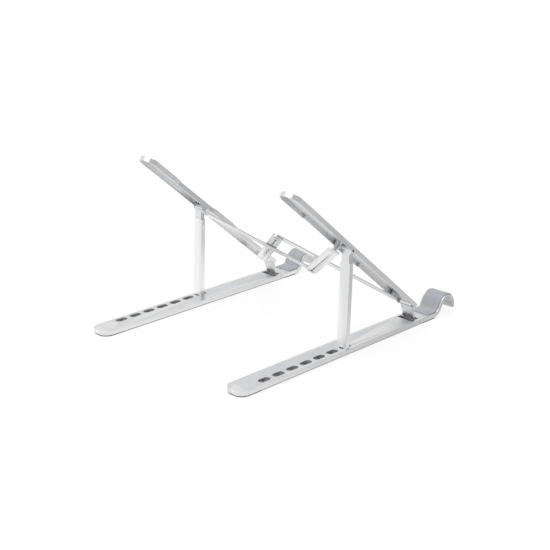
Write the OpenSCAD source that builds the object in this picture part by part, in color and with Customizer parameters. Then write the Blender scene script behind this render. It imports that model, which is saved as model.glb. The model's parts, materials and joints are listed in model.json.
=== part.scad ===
// Folding laptop stand: two legs with front hooks, two arms held up by struts,
// and four flat links that open and close the stand sideways.
// Millimetres, +Z up, +Y to the back, hooks at the front. The origin is on the
// ground at the middle of the stand.

/* [Overall] */
// Width over the outer sides of the two legs
stand_w = 200; // [150:1:260]
// Length of a leg, from the lip of its hook to its rounded back end
leg_l = 265; // [220:1:330]
// Width of every leg and arm
bar_w = 22; // [20:0.5:28]

/* [Leg] */
// Thickness of a leg
leg_t = 4; // [3.2:0.1:6]
// Corner radius of the leg's back end
leg_end_r = 9; // [4:0.5:10]
// Number of adjustment slots
slot_count = 7; // [2:1:7]
// Distance between two slots
slot_pitch = 15.6; // [13:0.1:17]
// Length of a slot
slot_l = 11.5; // [9:0.1:12]
// Width of a slot
slot_w = 6.4; // [5:0.1:8]
// Distance from the back end to the middle of the last slot
slot_inset = 30; // [20:1:40]
// Offset of the slots from the middle of the leg, to the outside
slot_out = 4.9; // [4.5:0.1:5.2]
// Length of the window that the arm's lug turns in
window_l = 11; // [9:0.1:16]
// Width of the window
window_w = 17; // [14.5:0.1:18]
// Distance from the hinge pin to the middle of the window
window_ahead = 3; // [0:0.1:3]
// Distance from the start of the hook's bend to the hinge pin
hinge_to_hook = 21.5; // [18:0.5:40]

/* [Hook] */
// Thickness of the hook's metal
hook_t = 3; // [2:0.1:4]
// Slope of the hook's rising side
hook_rise = 57; // [45:1:70]
// Slope of the hook's falling lip
hook_fall = 85; // [60:1:88]
// Radius of the valley, on the metal's upper face
valley_r = 6; // [4:0.5:10]
// Radius of the crest, on the metal's upper face
crest_r = 10; // [7:0.1:12]
// Length of the straight rise between the valley and the crest
rise_l = 7.3; // [5:0.1:16]
// Length of the straight lip after the crest
lip_l = 4; // [2:0.5:8]
// Thickness of the silicone liner
liner_t = 0.9; // [0.5:0.1:1.5]
// Bare metal beside the liner
liner_margin = 1.2; // [0.5:0.1:3]
// Slope of the crest where the liner ends
liner_fall = 60; // [20:1:60]
// Flat stretch of liner in front of the arm
liner_flat = 9; // [3:0.5:12]

/* [Feet] */
// Height of the rubber feet
foot_h = 1; // [0.6:0.1:3]
// Length of a back foot
rear_foot_l = 22; // [15:1:40]
// Length of a front foot
front_foot_l = 17; // [8:1:18]
// Bare metal around a foot
foot_margin = 0.4; // [0.2:0.1:3]

/* [Arm] */
// Length of an arm
arm_l = 198; // [198:1:260]
// Height of an arm's side walls
arm_t = 4.1; // [3.6:0.1:6]
// Thickness of the arm's top plate
top_t = 1.2; // [0.9:0.1:1.6]
// Thickness of the arm's side walls
wall_t = 1; // [0.8:0.1:1.5]
// Corner radius of the arm's upper end
arm_end_r = 10; // [5:0.5:10]
// Depth of the two cut-backs in the arm's inner edge
notch_d = 2; // [1:0.1:3]
// Length of the cut-back at the arm's lower end
low_notch_l = 72; // [20:1:80]
// Start and end of the cut-back in the middle of the arm
mid_notch_from = 107; // [95:1:120]
mid_notch_to = 158; // [140:1:170]
// Distance from the arm's lower end to the hinge pin, along the arm
hinge_back = 14.7; // [12:0.1:17]
// Height of the arm's top above the hinge pin, square to the arm
hinge_drop = 10.7; // [10.2:0.1:14]
// Width of the lug that holds the hinge pin
lug_w = 12.6; // [8:0.1:13]
// Thickness of the lug
lug_t = 2.4; // [1.8:0.1:3]
// Where the lug bends: distance from the hinge pin along the arm, and square to it
lug_bend_along = 6; // [4:0.1:7]
lug_bend_above = 2; // [1:0.1:2.5]

/* [Pads] */
// Thickness of the silicone pads on the arms
pad_t = 1.2; // [0.8:0.1:2]
// Width of the pads
pad_w = 16; // [10:0.5:18]
// Length of the pad near the arm's upper end
upper_pad_l = 34; // [20:1:36]
// Gap between the upper pad and the arm's upper end
upper_pad_inset = 6; // [4:0.5:12]
// Start of the pad in the middle of the arm
lower_pad_from = 70; // [30:1:72]
// Length of the pad in the middle of the arm
lower_pad_l = 34; // [20:1:36]

/* [Strut] */
// Which slot the struts stand in, counted from the back
strut_slot = 7; // [5:1:7]
// Length of a strut, from its pin to the top of the leg
strut_l = 85.6; // [72:0.1:103]
// Width of a strut
strut_w = 10.6; // [8:0.1:10.6]
// Thickness of a strut
strut_t = 4.2; // [2.6:0.1:4.4]
// Distance from the arm's lower end to the strut's pin
strut_pivot = 110; // [108:0.5:120]
// Offset of the struts from the middle of the arm and leg, to the outside
strut_out = 4.6; // [4.5:0.1:4.7]
// Distance from the middle of the slot to the middle of the strut's foot
foot_back = 2.1; // [0.5:0.1:2.2]
// Thickness of the key under the strut
key_t = 1.7; // [1.2:0.1:2]
// Depth of the key in its slot
key_d = 1.2; // [0.6:0.1:1.4]

/* [Links] */
// Width of a link
link_w = 10.6; // [8:0.1:11]
// Thickness of a link
link_t = 1.2; // [0.8:0.1:1.4]
// Angle between a link and the arm when the stand is open
open_angle = 46.9; // [40:0.1:55]
// Distance from the arm's lower end to the upper link pivot
upper_pivot = 113; // [108:0.5:120]
// Distance from the arm's lower end to the lower link pivot
lower_pivot = 16.4; // [12:0.1:30]
// Offset of the link pivots from the middle of the arm, to the inside
link_in = 5.7; // [5.6:0.1:6.5]

/* [Pins and rivets] */
// Radius of the hinge pin
hinge_pin_r = 1.25; // [1:0.05:1.4]
// Radius of the strut's pin
strut_pin_r = 1; // [0.8:0.05:1.1]
// Radius of a rivet's shank
rivet_r = 1.3; // [1:0.05:1.4]
// Radius and depth of a flush rivet head
flush_r = 2.3; // [1.8:0.1:2.6]
flush_d = 0.6; // [0.4:0.05:0.7]
// Radius and height of a raised rivet head
head_r = 3.2; // [2.5:0.1:4]
head_h = 0.5; // [0.3:0.05:0.6]

/* [Fits] */
// Radial clearance of a turning fit
turn_gap = 0.05; // [0.02:0.01:0.1]
// Clearance between faces that slide past each other
face_gap = 0.05; // [0.03:0.01:0.1]
// Radial clearance of the upper middle rivet
loose_gap = 0.3; // [0.2:0.05:0.4]
// Gap between a folded strut and the arm's top plate
strut_gap = 0.2; // [0.15:0.05:0.5]
// Gap between two links, and between the first link and the arm
layer_gap = 0.3; // [0.2:0.05:0.5]

/* [Hidden] */
$fn = 64;

left = -1;
right = 1;
bar_x = (stand_w - bar_w) / 2;
leg_top = foot_h + leg_t;
back_y = leg_l / 2;
cut = 1;
arc_steps = 20;

// The hook: its side profile is a valley, a straight rise, a crest and a lip,
// drawn from the valley's start at 0,0 on the metal's upper face towards -Y.
rise_start = [-valley_r * sin(hook_rise), valley_r * (1 - cos(hook_rise))];
rise_end = rise_start + rise_l * [-cos(hook_rise), sin(hook_rise)];
crest_mid = rise_end - crest_r * [sin(hook_rise), cos(hook_rise)];
lip_start = crest_mid + (crest_r - hook_t / 2) * [-sin(hook_fall), cos(hook_fall)];
lip_end = lip_start + lip_l * [-cos(hook_fall), -sin(hook_fall)];
hook_reach = -lip_end[0] + hook_t / 2;
valley_y = -leg_l / 2 + hook_reach;

// The hinge, the strut's foot and the angle that the strut holds the arm at
hinge_y = valley_y + hinge_to_hook;
hinge_z = leg_top - leg_t / 2;
slot_y = [for (i = [0:slot_count - 1]) back_y - slot_inset - i * slot_pitch];
strut_depth = top_t + strut_gap + strut_t / 2;
foot_y = slot_y[min(strut_slot, slot_count) - 1] + foot_back;
pin_along = strut_pivot + hinge_back;
pin_above = hinge_drop - strut_depth;
pin_dist = norm([pin_along, pin_above]);
foot_dist = norm([foot_y - hinge_y, leg_top - hinge_z]);
foot_angle = atan2(leg_top - hinge_z, foot_y - hinge_y);
pin_angle = acos((pin_dist * pin_dist + foot_dist * foot_dist - strut_l * strut_l)
    / (2 * pin_dist * foot_dist)) + foot_angle;
arm_angle = pin_angle - atan2(pin_above, pin_along);
pin_y = hinge_y + pin_dist * cos(pin_angle);
pin_z = hinge_z + pin_dist * sin(pin_angle);
strut_lean = atan2(foot_y - pin_y, pin_z - leg_top);

// The links: each reaches from an arm to the middle of the stand
pivot_x = bar_x - link_in;
link_l = pivot_x / sin(open_angle);
link_run = link_l * cos(open_angle);
lower_middle = upper_pivot - link_run;
upper_middle = lower_pivot + link_run;
washer_t = layer_gap - 2 * face_gap;
washer_r = 3.8;
spacer_r = 2.1;
ear_t = 1;
ear_r = 2.6;
lug_r = 2;

function layer_top(k) = -arm_t - layer_gap - (k - 1) * (link_t + layer_gap);
function layer_low(k) = layer_top(k) - link_t;

// Layers of the links, counted down from the arm
left_up_layer = 1;
right_up_layer = 2;
right_down_layer = 3;
left_down_layer = 4;

// ---- Placing ----

// Builds the right side's piece, and its mirror image for the left side
module on_side(side) {
    if (side > 0) children();
    else mirror([1, 0, 0]) children();
}

// Leg frame: X across the leg and outwards, Y along it, Z from the ground
module on_leg(side) {
    on_side(side) translate([bar_x, 0, 0]) children();
}

// Arm plane: X across the stand, Y up along the arm from its lower end,
// Z square to the arm with 0 at its top
module on_arm_plane() {
    translate([0, hinge_y, hinge_z])
        rotate([arm_angle, 0, 0])
            translate([0, hinge_back, hinge_drop])
                children();
}

module on_arm(side) {
    on_arm_plane() on_side(side) translate([bar_x, 0, 0]) children();
}

// A side profile with its own X along +Y and its own Y along +Z
module across(width) {
    rotate([90, 0, 90]) linear_extrude(width, center = true) children();
}

module rod_x(r, length) {
    rotate([0, 90, 0]) cylinder(r = r, h = length, center = true);
}

// ---- Outlines ----

// A strip from y0 to y1 whose far end has round corners
module strip(width, y0, y1, end_r) {
    half = width / 2;
    translate([-half, y0]) square([width, y1 - end_r - y0]);
    translate([-half + end_r, y0]) square([width - 2 * end_r, y1 - y0]);
    for (x = [-1, 1])
        translate([x * (half - end_r), y1 - end_r]) circle(end_r);
}

// A slot with round ends, long in Y
module slot_shape(width, length) {
    square([width, length - width], center = true);
    for (y = [-1, 1])
        translate([0, y * (length - width) / 2]) circle(width / 2);
}

function reversed(points) = [for (i = [len(points) - 1:-1:0]) points[i]];

function arc(mid, r, from, to) =
    [for (i = [0:arc_steps]) mid + r * [cos(from + (to - from) * i / arc_steps),
        sin(from + (to - from) * i / arc_steps)]];

// The hook's line at a height over the metal's upper face, from the start of the
// valley to the crest, down to a slope
function hook_line(height, fall) = concat(
    arc([0, valley_r], valley_r - height, 270, 270 - hook_rise),
    arc(crest_mid, crest_r + height, 90 - hook_rise, 90 + fall)
);

// ---- Leg and what is fixed to it ----

// The hook and its round lip, with a stretch that lies inside the leg
module hook_profile() {
    polygon(concat(
        [[hook_t, 0]],
        hook_line(0, hook_fall),
        arc(lip_end, hook_t / 2, 90 + hook_fall, 270 + hook_fall),
        reversed(hook_line(-hook_t, hook_fall)),
        [[hook_t, -hook_t]]
    ));
}

module leg(side) {
    color("silver")
    on_leg(side)
    difference() {
        union() {
            translate([0, 0, foot_h])
                linear_extrude(leg_t) strip(bar_w, valley_y, back_y, leg_end_r);
            translate([0, valley_y, leg_top])
                across(bar_w) hook_profile();
        }
        for (y = slot_y)
            translate([slot_out, y, foot_h - cut])
                linear_extrude(leg_t + 2 * cut) slot_shape(slot_w, slot_l);
        translate([-window_w / 2, hinge_y + window_ahead - window_l / 2, foot_h - cut])
            cube([window_w, window_l, leg_t + 2 * cut]);
        translate([0, hinge_y, hinge_z]) rod_x(hinge_pin_r, bar_w + 2 * cut);
    }
}

module hook_liner(side) {
    width = bar_w - 2 * liner_margin;
    color("#b9b8c0")
    on_leg(side)
    translate([0, valley_y, leg_top])
    across(width) polygon(concat(
        [[liner_flat, liner_t]],
        hook_line(liner_t, liner_fall),
        reversed(hook_line(0, liner_fall)),
        [[liner_flat, 0]]
    ));
}

module rear_foot(side) {
    width = bar_w - 2 * foot_margin;
    far_end = back_y - foot_margin;
    color("dimgray")
    on_leg(side)
    linear_extrude(foot_h)
        strip(width, far_end - rear_foot_l, far_end, leg_end_r - foot_margin);
}

module front_foot(side) {
    width = bar_w - 2 * foot_margin;
    color("dimgray")
    on_leg(side)
    translate([-width / 2, valley_y, 0])
        cube([width, front_foot_l, foot_h]);
}

module hinge_pin(side) {
    inset = 0.2;
    color("lightgray")
    on_leg(side)
    translate([0, hinge_y, hinge_z]) rod_x(hinge_pin_r, bar_w - 2 * inset);
}

// ---- Arm and what is fixed to it ----

// The arm seen from above, drawn smaller by an inset all round
module arm_outline(inset) {
    half = bar_w / 2;
    difference() {
        strip(bar_w - 2 * inset, inset, arm_l - inset, arm_end_r - inset);
        translate([-half - cut, -cut])
            square([notch_d + cut + inset, low_notch_l + cut + inset]);
        translate([-half - cut, mid_notch_from - inset])
            square([notch_d + cut + inset, mid_notch_to - mid_notch_from + 2 * inset]);
    }
}

// A bar in a side profile, with a round joint at its start
module lug_bar(from, to) {
    translate(from) circle(lug_t / 2);
    translate(from) rotate(atan2(to[1] - from[1], to[0] - from[0]))
        translate([0, -lug_t / 2]) square([norm(to - from), lug_t]);
}

// The lug goes from the arm's lower end down to a bend and back to the hinge pin
module lug_profile() {
    root = [lug_t, -top_t];
    eye = [-hinge_back, -hinge_drop];
    bend = eye + [lug_bend_along, lug_bend_above];
    translate(eye) circle(lug_r);
    lug_bar(eye, bend);
    lug_bar(bend, root);
}

// An ear with a round end, which hangs from the top plate and holds the strut's pin
module strut_ear(from_x, to_x) {
    translate([(from_x + to_x) / 2, strut_pivot, 0])
    across(to_x - from_x) {
        translate([0, -strut_depth]) circle(ear_r);
        translate([-ear_r, -strut_depth]) square([2 * ear_r, strut_depth - top_t / 2]);
    }
}

module arm(side) {
    half = bar_w / 2;
    inner_face = strut_out - strut_w / 2 - 2 * face_gap;
    color("silver")
    on_arm(side)
    difference() {
        union() {
            difference() {
                translate([0, 0, -arm_t]) linear_extrude(arm_t) arm_outline(0);
                translate([0, 0, -arm_t - cut])
                    linear_extrude(arm_t - top_t + cut) arm_outline(wall_t);
            }
            across(lug_w) lug_profile();
            strut_ear(inner_face - ear_t, inner_face);
            strut_ear(half - wall_t, half);
        }
        translate([0, -hinge_back, -hinge_drop]) rod_x(hinge_pin_r + turn_gap, bar_w);
        translate([0, strut_pivot, -strut_depth]) rod_x(strut_pin_r, bar_w + 2 * cut);
        for (y = [lower_pivot, upper_pivot])
            translate([-link_in, y, 0]) {
                translate([0, 0, -arm_t]) cylinder(r = rivet_r, h = arm_t + cut);
                translate([0, 0, -flush_d]) cylinder(r = flush_r, h = flush_d + cut);
            }
    }
}

module arm_pad(side, from, to) {
    corner_r = 3;
    half = pad_w / 2;
    color("#b9b8c0")
    on_arm(side)
    linear_extrude(pad_t)
    intersection() {
        strip(pad_w, from, to, corner_r);
        translate([0, from + to]) rotate(180) strip(pad_w, from, to, corner_r);
    }
}

module strut_pin(side) {
    inset = 0.3;
    inner_end = strut_out - strut_w / 2 - 2 * face_gap - ear_t;
    outer_end = bar_w / 2 - inset;
    color("dimgray")
    on_arm(side)
    translate([(inner_end + outer_end) / 2, strut_pivot, -strut_depth])
        rod_x(strut_pin_r, outer_end - inner_end);
}

// A rivet with two flush heads, from the arm's top to a link's lower face
module arm_rivet(side, y, layer) {
    low = layer_low(layer);
    color("lightgray")
    on_arm(side)
    translate([-link_in, y, 0]) {
        translate([0, 0, low]) cylinder(r = rivet_r, h = -low);
        translate([0, 0, low]) cylinder(r = flush_r, h = flush_d);
        translate([0, 0, -flush_d]) cylinder(r = flush_r, h = flush_d);
    }
}

// A tube around a rivet that holds the link away from the arm's top plate
module arm_spacer(side, y, layer) {
    low = layer_top(layer) + face_gap;
    color("silver")
    on_arm(side)
    translate([-link_in, y, low])
    difference() {
        cylinder(r = spacer_r, h = -top_t - low);
        translate([0, 0, -cut]) cylinder(r = rivet_r, h = -top_t - low + 2 * cut);
    }
}

// ---- Strut ----

module strut(side) {
    clear = 0.02;
    notch_w = 1.2;
    notch_from = 3;
    notch_l = 8;
    key_w = slot_w - 0.6;
    below = strut_l + strut_t;
    color("gainsboro")
    on_leg(side)
    translate([strut_out, 0, 0])
    difference() {
        union() {
            difference() {
                translate([0, pin_y, pin_z]) rotate([strut_lean, 0, 0]) {
                    rod_x(strut_t / 2, strut_w);
                    translate([-strut_w / 2, -strut_t / 2, -below])
                        cube([strut_w, strut_t, below]);
                }
                translate([-bar_w, foot_y - strut_l, leg_top + clear - leg_l])
                    cube([2 * bar_w, 2 * strut_l, leg_l]);
            }
            translate([slot_out - strut_out - key_w / 2, foot_y - strut_t / 2 + face_gap,
                leg_top - key_d])
                cube([key_w, key_t, 2 * key_d]);
        }
        translate([0, pin_y, pin_z]) rotate([strut_lean, 0, 0]) {
            rod_x(strut_pin_r + turn_gap, bar_w);
            for (x = [-1, 1])
                translate([x * strut_w / 2, 0, -notch_from - notch_l / 2])
                    rotate([90, 0, 0])
                        linear_extrude(2 * strut_t, center = true)
                            slot_shape(2 * notch_w, notch_l);
        }
    }
}

// ---- Links ----

// A link from an arm's pivot to the middle of the stand
module link(side, from_y, to_y, layer, middle_hole_r) {
    color("silver")
    on_arm_plane()
    on_side(side)
    translate([pivot_x, from_y, layer_low(layer)])
    rotate([0, 0, atan2(to_y - from_y, -pivot_x)])
    difference() {
        linear_extrude(link_t) difference() {
            union() {
                translate([0, -link_w / 2]) square([link_l, link_w]);
                circle(link_w / 2);
                translate([link_l, 0]) circle(link_w / 2);
            }
            circle(rivet_r + turn_gap);
            translate([link_l, 0]) circle(middle_hole_r);
        }
        translate([0, 0, -cut]) cylinder(r = flush_r + turn_gap, h = flush_d + face_gap + cut);
    }
}

// A rivet through two links in the middle of the stand, with two raised heads
module middle_rivet(y, top_layer) {
    top = layer_top(top_layer) + face_gap;
    low = layer_low(top_layer + 1) - face_gap;
    color("lightgray")
    on_arm_plane()
    translate([0, y, 0]) {
        translate([0, 0, low - head_h]) cylinder(r = head_r, h = head_h);
        translate([0, 0, low]) cylinder(r = rivet_r, h = top - low);
        translate([0, 0, top]) cylinder(r = head_r, h = head_h);
    }
}

module middle_washer(y, top_layer) {
    color("gray")
    on_arm_plane()
    translate([0, y, layer_low(top_layer) - face_gap - washer_t])
    difference() {
        cylinder(r = washer_r, h = washer_t);
        translate([0, 0, -cut]) cylinder(r = rivet_r, h = washer_t + 2 * cut);
    }
}

upper_pad_to = arm_l - upper_pad_inset;
upper_pad_from = upper_pad_to - upper_pad_l;
lower_pad_to = lower_pad_from + lower_pad_l;

leg(left);  // left_leg
hook_liner(left);  // left_hook_liner
rear_foot(left);  // left_rear_foot
front_foot(left);  // left_front_foot
hinge_pin(left);  // left_hinge_pin
arm(left);  // left_arm
arm_pad(left, upper_pad_from, upper_pad_to);  // left_upper_pad
arm_pad(left, lower_pad_from, lower_pad_to);  // left_lower_pad
strut_pin(left);  // left_strut_pin
strut(left);  // left_strut
arm_rivet(left, upper_pivot, left_down_layer);  // left_upper_rivet
arm_spacer(left, upper_pivot, left_down_layer);  // left_upper_spacer
arm_rivet(left, lower_pivot, left_up_layer);  // left_lower_rivet
arm_spacer(left, lower_pivot, left_up_layer);  // left_lower_spacer
link(left, upper_pivot, lower_middle, left_down_layer, rivet_r + turn_gap);  // left_down_link
link(left, lower_pivot, upper_middle, left_up_layer, rivet_r + loose_gap);  // left_up_link

leg(right);  // right_leg
hook_liner(right);  // right_hook_liner
rear_foot(right);  // right_rear_foot
front_foot(right);  // right_front_foot
hinge_pin(right);  // right_hinge_pin
arm(right);  // right_arm
arm_pad(right, upper_pad_from, upper_pad_to);  // right_upper_pad
arm_pad(right, lower_pad_from, lower_pad_to);  // right_lower_pad
strut_pin(right);  // right_strut_pin
strut(right);  // right_strut
arm_rivet(right, upper_pivot, right_down_layer);  // right_upper_rivet
arm_spacer(right, upper_pivot, right_down_layer);  // right_upper_spacer
arm_rivet(right, lower_pivot, right_up_layer);  // right_lower_rivet
arm_spacer(right, lower_pivot, right_up_layer);  // right_lower_spacer
link(right, upper_pivot, lower_middle, right_down_layer, rivet_r);  // right_down_link
link(right, lower_pivot, upper_middle, right_up_layer, rivet_r);  // right_up_link

middle_rivet(upper_middle, left_up_layer);  // upper_middle_rivet
middle_washer(upper_middle, left_up_layer);  // upper_middle_washer
middle_rivet(lower_middle, right_down_layer);  // lower_middle_rivet
middle_washer(lower_middle, right_down_layer);  // lower_middle_washer
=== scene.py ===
"""Looks and studio of a folding aluminium laptop stand, built around its packed CAD parts.

The metal pieces keep their CAD shape and get rounded edges and anodised or turned
metal finishes. The silicone and rubber pieces are built here as moulded parts.
"""

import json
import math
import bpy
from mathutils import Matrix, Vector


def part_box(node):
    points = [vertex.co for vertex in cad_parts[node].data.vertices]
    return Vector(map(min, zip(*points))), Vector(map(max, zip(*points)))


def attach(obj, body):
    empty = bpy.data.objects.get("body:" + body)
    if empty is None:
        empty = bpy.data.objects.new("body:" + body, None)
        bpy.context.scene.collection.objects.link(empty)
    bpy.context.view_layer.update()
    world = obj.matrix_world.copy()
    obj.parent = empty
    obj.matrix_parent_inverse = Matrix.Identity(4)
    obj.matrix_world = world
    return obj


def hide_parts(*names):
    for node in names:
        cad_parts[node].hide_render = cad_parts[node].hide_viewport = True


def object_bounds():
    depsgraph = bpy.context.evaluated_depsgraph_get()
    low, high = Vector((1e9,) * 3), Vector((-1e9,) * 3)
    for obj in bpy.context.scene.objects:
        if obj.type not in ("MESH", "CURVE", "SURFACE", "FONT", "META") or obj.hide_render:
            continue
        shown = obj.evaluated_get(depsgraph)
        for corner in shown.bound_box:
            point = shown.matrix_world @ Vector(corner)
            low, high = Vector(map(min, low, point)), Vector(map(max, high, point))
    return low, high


bl_info = {
    "name": "Folding Laptop Stand",
    "version": (1, 0, 0),
    "blender": (4, 5, 0),
    "location": "View3D > Sidebar > Laptop Stand",
    "description": "Finishes, moulded soft parts and studio of a folding laptop stand",
    "category": "Object",
}

import bpy
from bpy.props import FloatProperty, FloatVectorProperty, PointerProperty
from mathutils import Matrix, Vector

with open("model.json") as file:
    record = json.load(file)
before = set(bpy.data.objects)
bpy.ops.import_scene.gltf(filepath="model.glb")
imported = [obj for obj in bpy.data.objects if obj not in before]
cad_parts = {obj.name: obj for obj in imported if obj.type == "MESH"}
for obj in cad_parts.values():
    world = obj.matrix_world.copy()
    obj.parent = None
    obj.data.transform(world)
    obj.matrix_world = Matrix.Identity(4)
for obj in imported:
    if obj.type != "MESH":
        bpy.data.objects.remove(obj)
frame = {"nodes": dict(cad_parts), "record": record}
NODES = frame["nodes"]
JOINTS = {joint["name"]: joint for joint in frame["record"]["behaviour"]["joints"]}
CAD_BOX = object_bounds()
SIDES = ("left", "right")

MM = 0.001
CURVED_EDGE = math.radians(30)
FULL_TURN = 2 * math.pi
QUARTER_TURN = math.pi / 2

# Mesh making
JOINING_DISTANCE = 0.002 * MM
FACE_AREA_WEIGHT = 80
MOULD_CHAMFER = 0.12 * MM
LINER_CHAMFER = 0.1 * MM
LINER_TIP_SHARE = 0.12
FLAT_STEPS, VALLEY_STEPS, RISE_STEPS, CREST_STEPS = 6, 16, 5, 28
FOOT_CORNER = 1.0 * MM
REAR_FOOT_ROUND = 8.6 * MM

# Inset past an arm pad's rim, and the share of the dish's depth reached there
PAD_DISH = ((0.25 * MM, 0.4), (0.5 * MM, 1.0), (1.0 * MM, 1.0))

# The arm's plane: up along the arm, and away from its upper face
ARM_OUT = -Vector(JOINTS["width_fold"]["axis"]).normalized()
ARM_UP = ARM_OUT.cross(Vector((1, 0, 0)))
ARM_LEAN = math.atan2(ARM_UP.z, ARM_UP.y)
ARM_ORIGIN = Vector(JOINTS["arm_lift"]["pos_m"])


# ---- Settings ----


def length(name, description, default, **limits):
    """A size in metres."""
    return FloatProperty(name=name, description=description, default=default,
                         unit="LENGTH", subtype="DISTANCE", precision=5, min=0.0, **limits)


def angle(name, description, degrees):
    """An angle, stored in radians."""
    return FloatProperty(name=name, description=description,
                         default=math.radians(degrees), unit="ROTATION", subtype="ANGLE")


def share(name, description, default):
    """A number from 0 to 1."""
    return FloatProperty(name=name, description=description, default=default,
                         min=0.0, max=1.0, subtype="FACTOR")


def colour(name, description, default):
    """A linear colour."""
    return FloatVectorProperty(name=name, description=description, default=default,
                               size=3, min=0.0, max=1.0, subtype="COLOR")


class AluminiumSettings(bpy.types.PropertyGroup):
    """Anodised aluminium of the legs, arms, struts and links."""

    tone: colour("Tone", "Colour of the anodised face", (0.76, 0.765, 0.775))
    # This tone lightens the polished edges and also paints a highlight along them.
    worn_and_highlight_tone: colour("Worn and highlight tone", "Colour of the polished edges", (0.93, 0.93, 0.935))
    roughness: share("Roughness", "Roughness of the blasted face", 0.34)
    edge_roughness: share("Edge roughness", "Roughness of the polished edges", 0.16)
    grain_size: length("Grain size", "Size of the blasted grain", 0.00035)
    grain_depth: length("Grain depth", "Height of the blasted grain", 0.000005)
    streak_depth: length("Streak depth", "Height of the drawn streaks", 0.000006)
    bar_edge: length("Bar edge", "Width of the rounded edges of the legs", 0.0008)
    arm_edge: length("Arm edge", "Width of the rounded edges of the arms", 0.0003)
    strut_edge: length("Strut edge", "Width of the rounded edges of the struts", 0.0004)
    link_edge: length("Link edge", "Width of the rounded edges of the links", 0.00025)


class SteelSettings(bpy.types.PropertyGroup):
    """Turned steel of the pins, rivets, washers and spacers."""

    tone: colour("Tone", "Colour of the steel", (0.70, 0.705, 0.72))
    dark_tone: colour("Dark tone", "Colour of the blackened strut pins", (0.10, 0.10, 0.105))
    roughness: share("Roughness", "Roughness of the steel", 0.24)
    scratch_depth: length("Scratch depth", "Height of the fine scratches", 0.000004)
    edge: length("Edge", "Width of the rounded edges of pins and rivets", 0.0002)


class SiliconeSettings(bpy.types.PropertyGroup):
    """Moulded silicone of the hook liners and arm pads."""

    tone: colour("Tone", "Colour of the silicone", (0.40, 0.40, 0.44))
    roughness: share("Roughness", "Roughness of the silicone", 0.55)
    grain_size: length("Grain size", "Size of the moulded grain", 0.0005)
    grain_depth: length("Grain depth", "Height of the moulded grain", 0.00003)
    edge: length("Edge", "Radius of the moulded upper edges", 0.0005)
    pad_corner: length("Pad corner", "Corner radius of an arm pad", 0.003)
    pad_rim: length("Pad rim", "Width of the raised rim of an arm pad", 0.0012)
    pad_dish: length("Pad dish", "Depth of an arm pad's middle under its rim", 0.00015)


class HookSettings(bpy.types.PropertyGroup):
    """Side profile of the hook that a liner follows."""

    flat: length("Flat", "Flat stretch of the liner in front of the arm", 0.009)
    thickness: length("Thickness", "Thickness of the liner", 0.0009)
    valley: length("Valley", "Radius of the valley on the metal", 0.006)
    crest: length("Crest", "Radius of the crest on the metal", 0.010)
    rise_length: length("Rise length", "Straight rise between valley and crest", 0.0073)
    rise: angle("Rise", "Slope of the rising side", 57)
    fall: angle("Fall", "Slope where the liner ends on the falling side", 60)


class RubberSettings(bpy.types.PropertyGroup):
    """Rubber of the feet."""

    tone: colour("Tone", "Colour of the rubber", (0.06, 0.06, 0.065))
    roughness: share("Roughness", "Roughness of the rubber", 0.62)
    edge: length("Edge", "Radius of the lower edges of a foot", 0.00035)


class StudioSettings(bpy.types.PropertyGroup):
    """Camera, floor and light."""

    azimuth: angle("Azimuth", "Direction of the camera round the stand", 226.446)
    elevation: angle("Elevation", "Height of the camera over the horizon", 19.168)
    roll: angle("Roll", "Turn of the camera round its own line of sight", -0.965)
    lens: FloatProperty(name="Lens", description="Focal length on a 36 mm sensor",
                        default=73.44, unit="CAMERA")
    distance: length("Distance", "Distance from the camera to the stand's middle", 0.9934)
    slide_right: length("Slide right", "Camera's slide to its right", 0.00088)
    slide_down: length("Slide down", "Camera's slide downwards", 0.02957)
    floor_radius: length("Floor radius", "Radius of the floor", 30.0)
    floor_tone: colour("Floor tone", "Colour of the floor", (0.92, 0.92, 0.92))
    bright_side: share("Bright side", "Light from the bright side of the room", 0.82)
    dark_side: share("Dark side", "Light from the dark side of the room", 0.5)
    floor_glow: share("Floor glow", "How much the floor shines by itself", 0.85)
    shade_reach: length("Shade reach", "How far the stand shades the floor next to it", 0.012)
    overhead_strength: FloatProperty(name="Overhead strength", min=0.0, default=1.3,
                                     description="Strength of the soft light from above")
    overhead_spread: angle("Overhead spread", "Width of the soft light in the sky", 60)


# ---- Node trees ----


def place(tree, kind, options=None, **inputs):
    """Adds a node, sets its options, and links or sets its inputs by name."""
    made = tree.nodes.new(kind)
    for name, value in (options or {}).items():
        setattr(made, name, value)
    for name, value in inputs.items():
        feed(tree, made.inputs[name.replace("_", " ")], value)
    return made


def feed(tree, socket, value):
    """Links an output to a socket, or sets the socket."""
    if isinstance(value, bpy.types.NodeSocket):
        tree.links.new(value, socket)
    else:
        socket.default_value = value


def maths(tree, operation, first, second=0.0, clamp=False):
    """A Math node's output."""
    made = place(tree, "ShaderNodeMath", {"operation": operation, "use_clamp": clamp})
    feed(tree, made.inputs[0], first)
    feed(tree, made.inputs[1], second)
    return made.outputs[0]


def ramp(tree, value, low, high, to_low=0.0, to_high=1.0):
    """A value moved from one range to another, and kept inside it."""
    made = place(tree, "ShaderNodeMapRange", {"interpolation_type": "SMOOTHSTEP"})
    for name, number in (("Value", value), ("From Min", low), ("From Max", high),
                         ("To Min", to_low), ("To Max", to_high)):
        feed(tree, made.inputs[name], number)
    return made.outputs["Result"]


def blend_colours(tree, mask, first, second):
    """A mix of two colours by a mask."""
    made = place(tree, "ShaderNodeMix", {"data_type": "RGBA"})
    feed(tree, made.inputs["Factor"], mask)
    for socket, value in ((made.inputs[6], first), (made.inputs[7], second)):
        feed(tree, socket, value)
    return made.outputs[2]


def rgba(tone, factor=1.0):
    """A colour with full alpha, made lighter or darker by a factor."""
    return (*(min(1.0, part * factor) for part in tone), 1.0)


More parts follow.
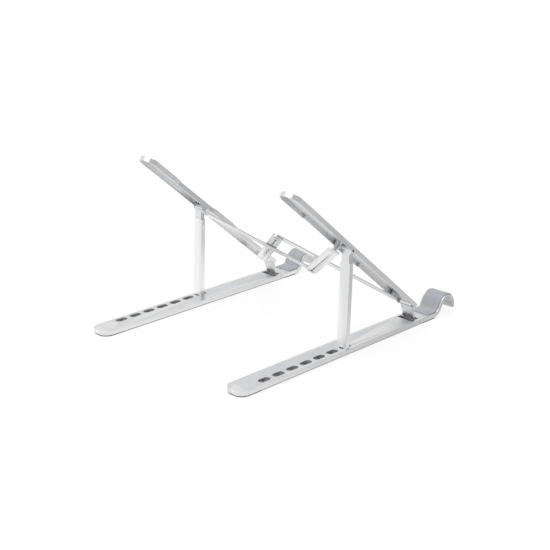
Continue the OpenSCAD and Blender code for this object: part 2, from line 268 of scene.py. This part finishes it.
def new_group(name, inputs, outputs):
    """A shader node group with named float or vector sockets, and its two end nodes."""
    tree = bpy.data.node_groups.new(name, "ShaderNodeTree")
    for label, kind, default in inputs:
        socket = tree.interface.new_socket(name=label, in_out="INPUT", socket_type=kind)
        socket.default_value = default
    for label in outputs:
        tree.interface.new_socket(name=label, in_out="OUTPUT", socket_type="NodeSocketFloat")
    return tree, tree.nodes.new("NodeGroupInput"), tree.nodes.new("NodeGroupOutput")


def scaled_position(tree, size):
    """The point on the piece, counted in units of a size."""
    point = place(tree, "ShaderNodeTexCoord").outputs["Object"]
    made = place(tree, "ShaderNodeVectorMath", {"operation": "SCALE"})
    feed(tree, made.inputs[0], point)
    feed(tree, made.inputs["Scale"], maths(tree, "DIVIDE", 1.0, size))
    return made.outputs[0]


def build_grain_group():
    """Fine blasted or moulded grain, with a slow mottle under it."""
    tree, start, end = new_group(
        "Surface Grain",
        [("Grain Size", "NodeSocketFloat", 0.0004), ("Mottle Size", "NodeSocketFloat", 0.008)],
        ["Height", "Mottle"])
    fine = place(tree, "ShaderNodeTexNoise", {"noise_dimensions": "3D"},
                 Vector=scaled_position(tree, start.outputs["Grain Size"]),
                 Scale=1.0, Detail=3.0, Roughness=0.65)
    slow = place(tree, "ShaderNodeTexNoise", {"noise_dimensions": "3D"},
                 Vector=scaled_position(tree, start.outputs["Mottle Size"]),
                 Scale=1.0, Detail=2.0, Roughness=0.5)
    tree.links.new(fine.outputs["Fac"], end.inputs["Height"])
    tree.links.new(ramp(tree, slow.outputs["Fac"], 0.3, 0.7), end.inputs["Mottle"])
    return tree


def build_streak_group():
    """Long thin streaks left by drawing or brushing, along one direction of the piece."""
    tree, start, end = new_group(
        "Drawn Streaks",
        [("Turn", "NodeSocketVector", (0, 0, 0)), ("Stretch", "NodeSocketVector", (3000, 40, 3000))],
        ["Height", "Streak"])
    point = place(tree, "ShaderNodeTexCoord").outputs["Object"]
    turned = place(tree, "ShaderNodeMapping", Vector=point, Rotation=start.outputs["Turn"])
    stretched = place(tree, "ShaderNodeVectorMath", {"operation": "MULTIPLY"})
    feed(tree, stretched.inputs[0], turned.outputs["Vector"])
    feed(tree, stretched.inputs[1], start.outputs["Stretch"])
    lines = place(tree, "ShaderNodeTexNoise", {"noise_dimensions": "3D"},
                  Vector=stretched.outputs[0], Scale=1.0, Detail=4.0, Roughness=0.7)
    tree.links.new(lines.outputs["Fac"], end.inputs["Height"])
    tree.links.new(ramp(tree, lines.outputs["Fac"], 0.35, 0.65), end.inputs["Streak"])
    return tree


def build_edge_group():
    """Where edges are polished and lightened as a painted highlight, and where hollow corners get
    painted shade.
    """
    tree, start, end = new_group(
        "Edge Wear Highlight And Shade",
        [("Breakup Size", "NodeSocketFloat", 0.004), ("Breakup", "NodeSocketFloat", 0.3)],
        ["Edge", "Corner"])
    bend = place(tree, "ShaderNodeNewGeometry").outputs["Pointiness"]
    patches = place(tree, "ShaderNodeTexNoise", {"noise_dimensions": "3D"},
                    Vector=scaled_position(tree, start.outputs["Breakup Size"]),
                    Scale=1.0, Detail=3.0, Roughness=0.6)
    kept = maths(tree, "SUBTRACT", 1.0,
                 maths(tree, "MULTIPLY", patches.outputs["Fac"], start.outputs["Breakup"]))
    # Edge is the mask of the polished edges, which also carry a painted highlight.
    edge = maths(tree, "MULTIPLY", ramp(tree, bend, 0.51, 0.57), kept, clamp=True)
    tree.links.new(edge, end.inputs["Edge"])
    # Corner is the mask of the painted shade in hollow corners.
    tree.links.new(ramp(tree, bend, 0.49, 0.42), end.inputs["Corner"])
    return tree


def build_marks_group():
    """Faint hand marks and sparse hairline scratches."""
    tree, start, end = new_group(
        "Handling Marks",
        [("Mark Size", "NodeSocketFloat", 0.03), ("Scratch Size", "NodeSocketFloat", 0.012)],
        ["Smear", "Scratch"])
    smear = place(tree, "ShaderNodeTexNoise", {"noise_dimensions": "3D"},
                  Vector=scaled_position(tree, start.outputs["Mark Size"]),
                  Scale=1.0, Detail=4.0, Roughness=0.55, Distortion=0.6)
    cells = place(tree, "ShaderNodeTexVoronoi", {"feature": "DISTANCE_TO_EDGE"},
                  Vector=scaled_position(tree, start.outputs["Scratch Size"]), Scale=1.0)
    hairline = ramp(tree, cells.outputs["Distance"], 0.012, 0.0)
    sparse = maths(tree, "MULTIPLY", hairline, ramp(tree, smear.outputs["Fac"], 0.55, 0.7))
    tree.links.new(ramp(tree, smear.outputs["Fac"], 0.4, 0.65), end.inputs["Smear"])
    tree.links.new(sparse, end.inputs["Scratch"])
    return tree


GROUP_BUILDERS = {
    "Surface Grain": build_grain_group,
    "Drawn Streaks": build_streak_group,
    "Edge Wear Highlight And Shade": build_edge_group,
    "Handling Marks": build_marks_group,
}


def use_group(tree, name, **values):
    """Places a shared effect in a material, with the material's own values."""
    group = bpy.data.node_groups.get(name) or GROUP_BUILDERS[name]()
    made = tree.nodes.new("ShaderNodeGroup")
    made.node_tree = group
    made.label = name
    for label, value in values.items():
        made.inputs[label.replace("_", " ")].default_value = value
    return made.outputs


def new_material(name):
    """An empty material and its Principled BSDF."""
    material = bpy.data.materials.new(name)
    material.use_nodes = True
    tree = material.node_tree
    tree.nodes.clear()
    shader = tree.nodes.new("ShaderNodeBsdfPrincipled")
    output = tree.nodes.new("ShaderNodeOutputMaterial")
    tree.links.new(shader.outputs[0], output.inputs["Surface"])
    return material, tree, shader


def relief(tree, *layers):
    """Bump nodes on top of each other: each layer is a height value and its depth in metres."""
    normal = None
    for height, depth in layers:
        bump = place(tree, "ShaderNodeBump", Height=height, Distance=depth, Strength=1.0)
        if normal:
            tree.links.new(normal, bump.inputs["Normal"])
        normal = bump.outputs["Normal"]
    return normal


# ---- Finishes ----


def aluminium(name, turn, stretch=(2500.0, 45.0, 2500.0)):
    """Blasted and silver anodised aluminium with streaks along the piece."""
    if name in bpy.data.materials:
        return bpy.data.materials[name]
    look = bpy.context.scene.stand_aluminium
    material, tree, shader = new_material(name)
    grain = use_group(tree, "Surface Grain", Grain_Size=look.grain_size, Mottle_Size=0.009)
    streaks = use_group(tree, "Drawn Streaks", Turn=turn, Stretch=stretch)
    wear_and_painted_light = use_group(tree, "Edge Wear Highlight And Shade", Breakup_Size=0.005, Breakup=0.35)
    marks = use_group(tree, "Handling Marks", Mark_Size=0.035, Scratch_Size=0.02)
    face = blend_colours(tree, grain["Mottle"], rgba(look.tone, 0.97), rgba(look.tone, 1.01))
    # Painted shade: the face goes darker in the hollow corners.
    face = blend_colours(tree, maths(tree, "MULTIPLY", wear_and_painted_light["Corner"], 0.2), face,
                         rgba(look.tone, 0.6))
    # The polished edges get a lighter tone, partly wear and partly a painted highlight.
    shader_tone = blend_colours(tree, wear_and_painted_light["Edge"], face, rgba(look.worn_and_highlight_tone))
    tree.links.new(shader_tone, shader.inputs["Base Color"])
    rough = maths(tree, "ADD", look.roughness, maths(tree, "MULTIPLY", marks["Smear"], 0.03))
    rough = maths(tree, "ADD", rough, maths(tree, "MULTIPLY", streaks["Streak"], 0.04))
    rough = maths(tree, "SUBTRACT", rough, maths(
        tree, "MULTIPLY", wear_and_painted_light["Edge"], look.roughness - look.edge_roughness), clamp=True)
    tree.links.new(rough, shader.inputs["Roughness"])
    tree.links.new(relief(tree, (grain["Height"], look.grain_depth),
                          (streaks["Height"], look.streak_depth),
                          (marks["Scratch"], look.streak_depth)), shader.inputs["Normal"])
    shader.inputs["Metallic"].default_value = 1.0
    return material


def steel(name, tone):
    """Turned and tumbled steel with fine scratches."""
    if name in bpy.data.materials:
        return bpy.data.materials[name]
    look = bpy.context.scene.stand_steel
    material, tree, shader = new_material(name)
    grain = use_group(tree, "Surface Grain", Grain_Size=0.0002, Mottle_Size=0.003)
    wear_and_painted_light = use_group(tree, "Edge Wear Highlight And Shade", Breakup_Size=0.002, Breakup=0.4)
    marks = use_group(tree, "Handling Marks", Mark_Size=0.008, Scratch_Size=0.004)
    face = blend_colours(tree, grain["Mottle"], rgba(tone, 0.93), rgba(tone, 1.04))
    # Polished edges are lighter, partly wear and partly a painted highlight.
    tree.links.new(blend_colours(tree, maths(tree, "MULTIPLY", wear_and_painted_light["Edge"], 0.6), face,
                                 rgba(tone, 1.2)), shader.inputs["Base Color"])
    rough = maths(tree, "ADD", look.roughness, maths(tree, "MULTIPLY", marks["Smear"], 0.08))
    tree.links.new(rough, shader.inputs["Roughness"])
    tree.links.new(relief(tree, (grain["Height"], look.scratch_depth),
                          (marks["Scratch"], look.scratch_depth)), shader.inputs["Normal"])
    shader.inputs["Metallic"].default_value = 1.0
    return material


def silicone():
    """Matt moulded silicone with a faint grain and a painted highlight along its edges."""
    if "Grey Silicone" in bpy.data.materials:
        return bpy.data.materials["Grey Silicone"]
    look = bpy.context.scene.stand_silicone
    material, tree, shader = new_material("Grey Silicone")
    grain = use_group(tree, "Surface Grain", Grain_Size=look.grain_size, Mottle_Size=0.006)
    wear_and_painted_light = use_group(tree, "Edge Wear Highlight And Shade", Breakup_Size=0.003, Breakup=0.4)
    marks = use_group(tree, "Handling Marks", Mark_Size=0.02, Scratch_Size=0.01)
    face = blend_colours(tree, grain["Mottle"], rgba(look.tone, 0.95), rgba(look.tone, 1.04))
    # Painted highlight: the upper edges are lighter.
    face = blend_colours(tree, maths(tree, "MULTIPLY", wear_and_painted_light["Edge"], 0.4), face,
                         rgba(look.tone, 1.25))
    tree.links.new(face, shader.inputs["Base Color"])
    rough = maths(tree, "ADD", look.roughness, maths(tree, "MULTIPLY", marks["Smear"], 0.12))
    tree.links.new(rough, shader.inputs["Roughness"])
    tree.links.new(relief(tree, (grain["Height"], look.grain_depth)), shader.inputs["Normal"])
    shader.inputs["Specular IOR Level"].default_value = 0.4
    shader.inputs["Sheen Weight"].default_value = 0.15
    shader.inputs["Sheen Roughness"].default_value = 0.5
    return material


def rubber():
    """Dark grey moulded rubber."""
    if "Foot Rubber" in bpy.data.materials:
        return bpy.data.materials["Foot Rubber"]
    look = bpy.context.scene.stand_rubber
    material, tree, shader = new_material("Foot Rubber")
    grain = use_group(tree, "Surface Grain", Grain_Size=0.0006, Mottle_Size=0.005)
    wear_and_painted_light = use_group(tree, "Edge Wear Highlight And Shade", Breakup_Size=0.003, Breakup=0.5)
    face = blend_colours(tree, grain["Mottle"], rgba(look.tone, 0.8), rgba(look.tone, 1.2))
    # Painted highlight: the edges of a foot are lighter.
    tree.links.new(blend_colours(tree, maths(tree, "MULTIPLY", wear_and_painted_light["Edge"], 0.5), face,
                                 rgba(look.tone, 1.8)), shader.inputs["Base Color"])
    rough = maths(tree, "ADD", look.roughness, maths(tree, "MULTIPLY", grain["Mottle"], 0.15))
    tree.links.new(rough, shader.inputs["Roughness"])
    tree.links.new(relief(tree, (grain["Height"], 0.00004)), shader.inputs["Normal"])
    return material


# ---- Shapes ----


def keep_faces_flat(piece):
    """Shades the large faces flat and leaves the bend to the rounded edges."""
    normals = piece.modifiers.new("Flat faces", "WEIGHTED_NORMAL")
    normals.mode = "FACE_AREA_WITH_ANGLE"
    normals.weight = FACE_AREA_WEIGHT


def round_edges(piece, width, segments=3):
    """Joins a CAD mesh's split corners and rounds its sharp edges."""
    weld = piece.modifiers.new("Join corners", "WELD")
    weld.merge_threshold = JOINING_DISTANCE
    bevel = piece.modifiers.new("Rounded edges", "BEVEL")
    bevel.width = width
    bevel.segments = segments
    bevel.limit_method = "ANGLE"
    bevel.angle_limit = CURVED_EDGE
    bevel.miter_outer = "MITER_ARC"
    bevel.use_clamp_overlap = True
    keep_faces_flat(piece)


def dress(node, material, edge):
    """Gives a CAD node its finish and its rounded edges."""
    piece = NODES[node]
    piece.data.materials.clear()
    piece.data.materials.append(material)
    for polygon in piece.data.polygons:
        polygon.use_smooth = True
    round_edges(piece, edge)


def outline_inset(outline, inset):
    """A closed outline, counter-clockwise, moved inwards."""
    moved = []
    for i, point in enumerate(outline):
        before, after = outline[i - 1], outline[(i + 1) % len(outline)]
        first = Vector((point[1] - before[1], before[0] - point[0])).normalized()
        second = Vector((after[1] - point[1], point[0] - after[0])).normalized()
        miter = (first + second) / (1 + first.dot(second))
        moved.append((point[0] - inset * miter.x, point[1] - inset * miter.y))
    return moved


def rounded_outline(half_width, low, high, low_radius, high_radius, steps=10):
    """An outline along Y with its own corner radius at each end, counter-clockwise."""
    points = []
    corners = ((half_width, low, low_radius, 1, 1, 270), (half_width, high, high_radius, 1, -1, 0),
               (-half_width, high, high_radius, -1, -1, 90), (-half_width, low, low_radius, -1, 1, 180))
    for x, y, radius, side, end, start in corners:
        for step in range(steps + 1):
            turn = math.radians(start + 90 * step / steps)
            points.append((x - side * radius + radius * math.cos(turn),
                           y + end * radius + radius * math.sin(turn)))
    return points


def edge_levels(height, radius, steps=5):
    """Inset and height up a moulded side and round its upper edge."""
    levels = [(MOULD_CHAMFER, 0.0), (0.0, MOULD_CHAMFER)]
    for step in range(steps + 1):
        turn = QUARTER_TURN * step / steps
        levels.append((radius * (1 - math.cos(turn)), height - radius * (1 - math.sin(turn))))
    return levels


def moulded_piece(name, outline, levels, to_frame):
    """A closed mesh of stacked outlines: each level is an inset and a height."""
    vertices, faces = [], []
    count = len(outline)
    for inset, height in levels:
        vertices += [to_frame(x, y, height) for x, y in outline_inset(outline, inset)]
    for level in range(len(levels) - 1):
        base = level * count
        for i in range(count):
            j = (i + 1) % count
            faces.append((base + i, base + j, base + count + j, base + count + i))
    faces.append(tuple(reversed(range(count))))
    faces.append(tuple(range(len(vertices) - count, len(vertices))))
    return soft_object(name, vertices, faces)


def soft_object(name, vertices, faces):
    """A smooth object in the scene from points in the row frame."""
    mesh = bpy.data.meshes.new(name)
    mesh.from_pydata([tuple(v) for v in vertices], [], faces)
    mesh.update()
    for polygon in mesh.polygons:
        polygon.use_smooth = True
    piece = bpy.data.objects.new(name, mesh)
    bpy.context.scene.collection.objects.link(piece)
    keep_faces_flat(piece)
    return piece


def stand_for(piece, node, body, material):
    """Puts a moulded piece in a CAD node's place."""
    piece.data.materials.append(material)
    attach(piece, body)
    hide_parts(node)


def hook_path(hook):
    """Points of the hook's line and the directions away from the metal, as (y, z) pairs
    from the start of the valley, from the flat stretch to the end of the crest."""
    rise, fall = hook.rise, hook.fall
    path = [((hook.flat * (1 - i / FLAT_STEPS), 0.0), (0.0, 1.0)) for i in range(FLAT_STEPS)]
    for i in range(VALLEY_STEPS + 1):
        turn = math.radians(270) - rise * i / VALLEY_STEPS
        out = (math.cos(turn), math.sin(turn))
        path.append(((hook.valley * out[0], hook.valley * (1 + out[1])), (-out[0], -out[1])))
    (low_y, low_z), out = path[-1]
    high_y = low_y - hook.rise_length * math.cos(rise)
    high_z = low_z + hook.rise_length * math.sin(rise)
    for i in range(1, RISE_STEPS):
        t = i / RISE_STEPS
        path.append(((low_y + (high_y - low_y) * t, low_z + (high_z - low_z) * t), out))
    middle = (high_y - hook.crest * math.sin(rise), high_z - hook.crest * math.cos(rise))
    for i in range(CREST_STEPS + 1):
        turn = math.radians(90) - rise + (rise + fall) * i / CREST_STEPS
        out = (math.cos(turn), math.sin(turn))
        path.append(((middle[0] + hook.crest * out[0], middle[1] + hook.crest * out[1]), out))
    return path


def with_round_ends(path, radius, steps=5):
    """Adds close rows at both ends of a path, each with the share of the full height."""
    rows = [(*row, 1.0) for row in path]
    for end in (0, -1):
        (y, z), out = path[end]
        other = path[1 if end == 0 else -2][0]
        gap = math.hypot(other[0] - y, other[1] - z)
        extra = []
        for step in range(steps + 1):
            turn = QUARTER_TURN * step / steps
            t = radius * (1 - math.cos(turn)) / gap
            extra.append(((y + (other[0] - y) * t, z + (other[1] - z) * t), out,
                          LINER_TIP_SHARE + (1 - LINER_TIP_SHARE) * math.sin(turn)))
        rows = extra + rows[1:] if end == 0 else rows[:-1] + extra[::-1]
    return rows


def liner_section(half_width, height, radius, steps=5):
    """The liner's cross section, from its left lower corner over the top to the right."""
    left = [(-half_width + LINER_CHAMFER, 0.0), (-half_width, LINER_CHAMFER)]
    for step in range(steps + 1):
        turn = QUARTER_TURN * step / steps
        left.append((-half_width + radius * (1 - math.cos(turn)),
                     height - radius * (1 - math.sin(turn))))
    return left + [(-x, h) for x, h in reversed(left)]


# ---- Operators ----


class LAPTOPSTAND_OT_legs(bpy.types.Operator):
    """Finish the two legs with their hooks, slots and windows"""

    bl_idname = "laptop_stand.legs"
    bl_label = "Legs"

    def execute(self, context):
        look = context.scene.stand_aluminium
        for side in SIDES:
            dress(f"{side}_leg", aluminium("Leg Aluminium", (0, 0, 0)), look.bar_edge)
        return {"FINISHED"}


class LAPTOPSTAND_OT_arms(bpy.types.Operator):
    """Finish the two arms, with the streaks along them"""

    bl_idname = "laptop_stand.arms"
    bl_label = "Arms"

    def execute(self, context):
        look = context.scene.stand_aluminium
        for side in SIDES:
            dress(f"{side}_arm", aluminium("Arm Aluminium", (-ARM_LEAN, 0, 0)), look.arm_edge)
        return {"FINISHED"}


class LAPTOPSTAND_OT_struts(bpy.types.Operator):
    """Finish the two struts, with the streaks up them"""

    bl_idname = "laptop_stand.struts"
    bl_label = "Struts"

    def execute(self, context):
        look = context.scene.stand_aluminium
        for side in SIDES:
            dress(f"{side}_strut", aluminium("Strut Aluminium", (math.pi / 2, 0, 0)),
                  look.strut_edge)
        return {"FINISHED"}


class LAPTOPSTAND_OT_links(bpy.types.Operator):
    """Finish the four flat links, with the streaks along each"""

    bl_idname = "laptop_stand.links"
    bl_label = "Links"

    def execute(self, context):
        look = context.scene.stand_aluminium
        for side in SIDES:
            for kind in ("down", "up"):
                node = f"{side}_{kind}_link"
                dress(node, aluminium("Link Aluminium", (-ARM_LEAN, 0, 0),
                                      (900.0, 900.0, 900.0)), look.link_edge)
        return {"FINISHED"}


class LAPTOPSTAND_OT_fasteners(bpy.types.Operator):
    """Finish the pins, rivets, washers and spacers"""

    bl_idname = "laptop_stand.fasteners"
    bl_label = "Pins and rivets"

    def execute(self, context):
        look = context.scene.stand_steel
        bright = steel("Turned Steel", look.tone)
        dark = steel("Blackened Steel", look.dark_tone)
        for node in NODES:
            if node.endswith(("hinge_pin", "rivet", "washer", "spacer")):
                dress(node, bright, look.edge)
            elif node.endswith("strut_pin"):
                dress(node, dark, look.edge)
        return {"FINISHED"}


class LAPTOPSTAND_OT_hook_liners(bpy.types.Operator):
    """Build the moulded silicone liners that follow the hooks"""

    bl_idname = "laptop_stand.hook_liners"
    bl_label = "Hook liners"

    def execute(self, context):
        hook = context.scene.stand_hook
        look = context.scene.stand_silicone
        rows = with_round_ends(hook_path(hook), look.edge)
        for side in SIDES:
            node = f"{side}_hook_liner"
            low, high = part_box(node)
            middle = (low.x + high.x) / 2
            section = liner_section((high.x - low.x) / 2, hook.thickness, look.edge)
            vertices, faces = [], []
            for (y, z), out, full in rows:
                for x, height in section:
                    lift = height * full
                    vertices.append((middle + x, high.y - hook.flat + y + out[0] * lift,
                                     low.z + z + out[1] * lift))
            count = len(section)
            for row in range(len(rows) - 1):
                for i in range(count):
                    j = (i + 1) % count
                    base = row * count
                    faces.append((base + i, base + count + i, base + count + j, base + j))
            faces.append(tuple(range(count)))
            faces.append(tuple(reversed(range(len(vertices) - count, len(vertices)))))
            piece = soft_object(f"{side}_silicone_liner", vertices, faces)
            stand_for(piece, node, f"{side}_base", silicone())
        return {"FINISHED"}


class LAPTOPSTAND_OT_arm_pads(bpy.types.Operator):
    """Build the moulded silicone pads on the arms"""

    bl_idname = "laptop_stand.arm_pads"
    bl_label = "Arm pads"

    def execute(self, context):
        look = context.scene.stand_silicone
        for side in SIDES:
            for place_name in ("upper", "lower"):
                node = f"{side}_{place_name}_pad"
                along, out, across = [], [], []
                for vertex in NODES[node].data.vertices:
                    reach = vertex.co - ARM_ORIGIN
                    along.append(reach.dot(ARM_UP))
                    out.append(reach.dot(ARM_OUT))
                    across.append(vertex.co.x)
                middle = (min(across) + max(across)) / 2
                half = (max(across) - min(across)) / 2
                thickness = max(out) - min(out)
                base = Vector((0, ARM_ORIGIN.y, ARM_ORIGIN.z)) + ARM_OUT * min(out)

                def to_frame(x, y, height, middle=middle, base=base):
                    return base + Vector((middle + x, 0, 0)) + ARM_UP * y + ARM_OUT * height

                outline = rounded_outline(half, min(along), max(along),
                                          look.pad_corner, look.pad_corner)
                levels = edge_levels(thickness, look.edge)
                levels.append((look.pad_rim, thickness))
                levels += [(look.pad_rim + inset, thickness - depth * look.pad_dish)
                           for inset, depth in PAD_DISH]
                piece = moulded_piece(f"{side}_{place_name}_silicone_pad", outline, levels,
                                      to_frame)
                stand_for(piece, node, f"{side}_arm", silicone())
        return {"FINISHED"}


class LAPTOPSTAND_OT_feet(bpy.types.Operator):
    """Build the moulded rubber feet under the legs"""

    bl_idname = "laptop_stand.feet"
    bl_label = "Feet"

    def execute(self, context):
        look = context.scene.stand_rubber
        for side in SIDES:
            for place_name, far_radius in (("rear", REAR_FOOT_ROUND), ("front", FOOT_CORNER)):
                node = f"{side}_{place_name}_foot"
                low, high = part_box(node)
                middle, top = (low.x + high.x) / 2, high.z

                def to_frame(x, y, height, middle=middle, top=top):
                    return Vector((middle - x, y, top - height))

                outline = rounded_outline((high.x - low.x) / 2, low.y, high.y,
                                          FOOT_CORNER, far_radius)
                levels = edge_levels(high.z - low.z, look.edge)
                piece = moulded_piece(f"{side}_{place_name}_rubber_foot", outline, levels,
                                      to_frame)
                stand_for(piece, node, f"{side}_base", rubber())
        return {"FINISHED"}


class LAPTOPSTAND_OT_stage(bpy.types.Operator):
    """Set up the camera, the pale floor and the soft light"""

    bl_idname = "laptop_stand.stage"
    bl_label = "Stage"

    def execute(self, context):
        studio = context.scene.stand_studio
        self.add_camera(context, studio)
        self.add_floor(studio)
        self.light_room(context, studio)
        self.add_overhead_light(context, studio)
        context.scene.view_settings.view_transform = "Standard"
        return {"FINISHED"}

    def add_camera(self, context, studio):
        """A camera at its angle, which looks past the stand's middle by its slides."""
        low, high = CAD_BOX
        flat = math.cos(studio.elevation)
        back = Vector((math.sin(studio.azimuth) * flat, -math.cos(studio.azimuth) * flat,
                       math.sin(studio.elevation)))
        level = (-back).cross(Vector((0, 0, 1))).normalized()
        upright = level.cross(-back)
        turn_cos, turn_sin = math.cos(studio.roll), math.sin(studio.roll)
        right = level * turn_cos + upright * turn_sin
        up = upright * turn_cos - level * turn_sin
        data = bpy.data.cameras.new("Camera")
        data.lens = studio.lens
        data.sensor_width = 36.0
        data.clip_start, data.clip_end = 0.01, 200.0
        camera = bpy.data.objects.new("Camera", data)
        context.scene.collection.objects.link(camera)
        camera.matrix_world = Matrix.Translation(
            (low + high) / 2 + back * studio.distance + right * studio.slide_right
            - up * studio.slide_down
        ) @ Matrix((right, up, back)).transposed().to_4x4()
        context.scene.camera = camera

    def add_floor(self, studio):
        """A large round floor. Metal sees it darker towards -X and -Y, as if flagged."""
        steps = 96
        rim = [(studio.floor_radius * math.cos(FULL_TURN * i / steps),
                studio.floor_radius * math.sin(FULL_TURN * i / steps), 0.0)
               for i in range(steps)]
        mesh = bpy.data.meshes.new("floor")
        mesh.from_pydata(rim, [], [tuple(range(steps))])
        floor = bpy.data.objects.new("floor", mesh)
        bpy.context.scene.collection.objects.link(floor)
        material, tree, shader = new_material("Studio Floor")
        tone = rgba(studio.floor_tone)
        open_sky = place(tree, "ShaderNodeAmbientOcclusion", {"samples": 8},
                         Distance=studio.shade_reach).outputs["AO"]
        # Painted shadow: the floor's colour goes dark where the stand is close above it.
        tree.links.new(blend_colours(tree, ramp(tree, open_sky, 0.1, 0.5),
                                     rgba(studio.floor_tone, 0.12), tone),
                       shader.inputs["Base Color"])
        shader.inputs["Roughness"].default_value = 0.9
        shader.inputs["Specular IOR Level"].default_value = 0.1
        point = place(tree, "ShaderNodeNewGeometry").outputs["Position"]
        split = place(tree, "ShaderNodeSeparateXYZ", Vector=point)
        diagonal = maths(tree, "ADD", split.outputs["X"], split.outputs["Y"])
        tone_seen = ramp(tree, diagonal, -0.35, 0.12, 0.55, 1.0)
        # Painted reflection: for glossy rays the floor glows brighter towards +X and +Y, and goes dark
        # under the stand as painted shade.
        glow = place(tree, "ShaderNodeEmission", Strength=maths(
            tree, "MULTIPLY", tone_seen, ramp(tree, open_sky, 0.1, 0.9)))
        path = place(tree, "ShaderNodeLightPath")
        # The camera sees the floor glow near white, with painted shadow where the stand is close.
        pale = place(tree, "ShaderNodeEmission", Strength=ramp(tree, open_sky, 0.1, 0.5, 0.3, 1.02))
        lit = place(tree, "ShaderNodeMixShader", Fac=maths(
            tree, "MULTIPLY", path.outputs["Is Camera Ray"], studio.floor_glow))
        tree.links.new(shader.outputs[0], lit.inputs[1])
        tree.links.new(pale.outputs[0], lit.inputs[2])
        mixed = place(tree, "ShaderNodeMixShader", Fac=path.outputs["Is Glossy Ray"])
        tree.links.new(lit.outputs[0], mixed.inputs[1])
        tree.links.new(glow.outputs[0], mixed.inputs[2])
        output = next(n for n in tree.nodes if n.bl_idname == "ShaderNodeOutputMaterial")
        tree.links.new(mixed.outputs[0], output.inputs["Surface"])
        material.cycles.emission_sampling = "NONE"
        mesh.materials.append(material)

    def light_room(self, context, studio):
        """A room that is bright on its +X side and darker on its -X side."""
        world = bpy.data.worlds.new("Studio Room")
        context.scene.world = world
        world.use_nodes = True
        tree = world.node_tree
        tree.nodes.clear()
        direction = place(tree, "ShaderNodeTexCoord").outputs["Generated"]
        split = place(tree, "ShaderNodeSeparateXYZ", Vector=direction)
        seen = ramp(tree, split.outputs["X"], -0.4, 0.45, studio.dark_side, studio.bright_side)
        path = place(tree, "ShaderNodeLightPath").outputs["Is Camera Ray"]
        tone = maths(tree, "MAXIMUM", seen, path)
        back = place(tree, "ShaderNodeBackground", Strength=tone)
        back.inputs["Color"].default_value = (1, 1, 1, 1)
        output = place(tree, "ShaderNodeOutputWorld")
        tree.links.new(back.outputs[0], output.inputs["Surface"])

    def add_overhead_light(self, context, studio):
        """A wide soft light from above, a little towards +X and +Y."""
        data = bpy.data.lights.new("overhead_light", "SUN")
        data.energy = studio.overhead_strength
        data.angle = studio.overhead_spread
        lamp = bpy.data.objects.new("overhead_light", data)
        lamp.rotation_euler = (math.radians(-12), math.radians(12), 0)
        context.scene.collection.objects.link(lamp)


class LAPTOPSTAND_PT_sidebar(bpy.types.Panel):
    """Settings and build steps of the laptop stand"""

    bl_idname = "LAPTOPSTAND_PT_sidebar"
    bl_label = "Laptop Stand"
    bl_space_type = "VIEW_3D"
    bl_region_type = "UI"
    bl_category = "Laptop Stand"

    def draw(self, context):
        for operator in OPERATORS:
            self.layout.operator(operator.bl_idname, text=operator.bl_label)
        for attribute, group in SETTINGS.items():
            box = self.layout.box()
            box.label(text=group.__doc__)
            for name in group.__annotations__:
                box.prop(getattr(context.scene, attribute), name)


OPERATORS = (
    LAPTOPSTAND_OT_legs,
    LAPTOPSTAND_OT_arms,
    LAPTOPSTAND_OT_struts,
    LAPTOPSTAND_OT_links,
    LAPTOPSTAND_OT_fasteners,
    LAPTOPSTAND_OT_hook_liners,
    LAPTOPSTAND_OT_arm_pads,
    LAPTOPSTAND_OT_feet,
    LAPTOPSTAND_OT_stage,
)
SETTINGS = {
    "stand_aluminium": AluminiumSettings,
    "stand_steel": SteelSettings,
    "stand_silicone": SiliconeSettings,
    "stand_hook": HookSettings,
    "stand_rubber": RubberSettings,
    "stand_studio": StudioSettings,
}


def register():
    for group in (*SETTINGS.values(), *OPERATORS, LAPTOPSTAND_PT_sidebar):
        bpy.utils.register_class(group)
    for attribute, group in SETTINGS.items():
        setattr(bpy.types.Scene, attribute, PointerProperty(type=group))


def unregister():
    for attribute in SETTINGS:
        delattr(bpy.types.Scene, attribute)
    for group in (LAPTOPSTAND_PT_sidebar, *OPERATORS, *SETTINGS.values()):
        bpy.utils.unregister_class(group)


def main():
    register()
    bpy.ops.laptop_stand.legs()
    bpy.ops.laptop_stand.arms()
    bpy.ops.laptop_stand.struts()
    bpy.ops.laptop_stand.links()
    bpy.ops.laptop_stand.fasteners()
    bpy.ops.laptop_stand.hook_liners()
    bpy.ops.laptop_stand.arm_pads()
    bpy.ops.laptop_stand.feet()
    bpy.ops.laptop_stand.stage()


if __name__ == "__main__":
    main()
